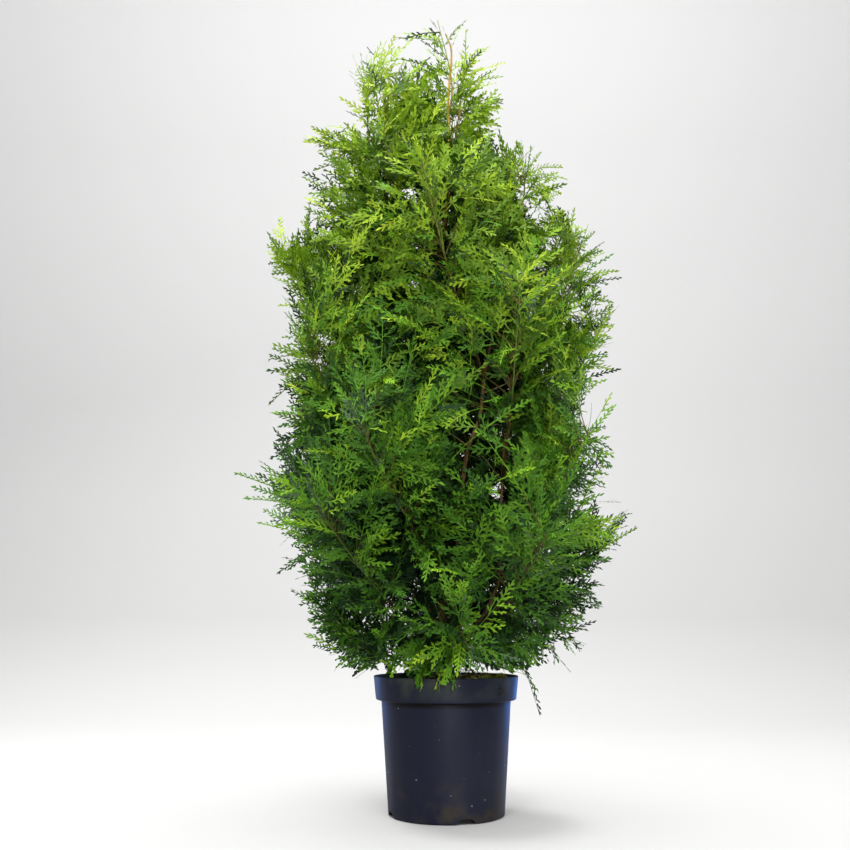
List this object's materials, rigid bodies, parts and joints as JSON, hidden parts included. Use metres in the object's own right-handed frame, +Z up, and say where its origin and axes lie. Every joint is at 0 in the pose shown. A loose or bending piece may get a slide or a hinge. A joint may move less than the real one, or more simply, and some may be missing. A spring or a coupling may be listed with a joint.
{
  "type": "potted thuja",
  "caption": "Bushy flame-shaped conifer with flat fern-like sprays on several upright stems, growing in a round black nursery container; stands freely on the container's flat base.",
  "frame": {"origin": "centre of the container's flat underside", "axes": "+Z up along the container's axis; -Y towards the plant's front as sold; +X to the right seen from the front"},
  "size_m": [0.5993, 0.5809, 1.2674],
  "materials": {
    "black_plastic": "moulded polypropylene, satin, with faint scuffs and dust",
    "compost": "moist fibrous peat compost with some moss",
    "bark": "thin stringy red-brown bark, smooth and yellow-orange on young stems",
    "foliage": "scale-leaved flat sprays, waxy mid green with lime tips"
  },
  "bodies": {
    "root": {"pot": "black_plastic", "soil": "compost", "trunk": "bark", "stem_right": "bark", "stem_low_right": "bark", "stem_left": "bark", "bough_skirt_1": "bark", "bough_skirt_2": "bark", "bough_skirt_3": "bark", "bough_skirt_4": "bark", "bough_low_1": "bark", "bough_low_2": "bark", "bough_low_3": "bark", "bough_low_4": "bark", "bough_low_5": "bark", "bough_waist_1": "bark", "bough_waist_2": "bark", "bough_waist_3": "bark", "bough_waist_4": "bark", "bough_waist_5": "bark", "bough_shoulder_1": "bark", "bough_shoulder_2": "bark", "bough_shoulder_3": "bark", "bough_shoulder_4": "bark", "bough_shoulder_5": "bark", "bough_upper_1": "bark", "bough_upper_2": "bark", "bough_upper_3": "bark", "bough_upper_4": "bark", "foliage_skirt_1": "foliage", "foliage_skirt_2": "foliage", "foliage_skirt_3": "foliage", "foliage_skirt_4": "foliage", "foliage_low_1": "foliage", "foliage_low_2": "foliage", "foliage_low_3": "foliage", "foliage_low_4": "foliage", "foliage_low_5": "foliage", "foliage_waist_1": "foliage", "foliage_waist_2": "foliage", "foliage_waist_3": "foliage", "foliage_waist_4": "foliage", "foliage_waist_5": "foliage", "foliage_shoulder_1": "foliage", "foliage_shoulder_2": "foliage", "foliage_shoulder_3": "foliage", "foliage_shoulder_4": "foliage", "foliage_shoulder_5": "foliage", "foliage_upper_1": "foliage", "foliage_upper_2": "foliage", "foliage_upper_3": "foliage", "foliage_upper_4": "foliage", "foliage_high_1": "foliage", "foliage_high_2": "foliage", "foliage_high_3": "foliage", "foliage_high_4": "foliage", "foliage_top_1": "foliage", "foliage_top_2": "foliage", "foliage_top_3": "foliage", "foliage_leader": "foliage"}
  },
  "joints": []
}
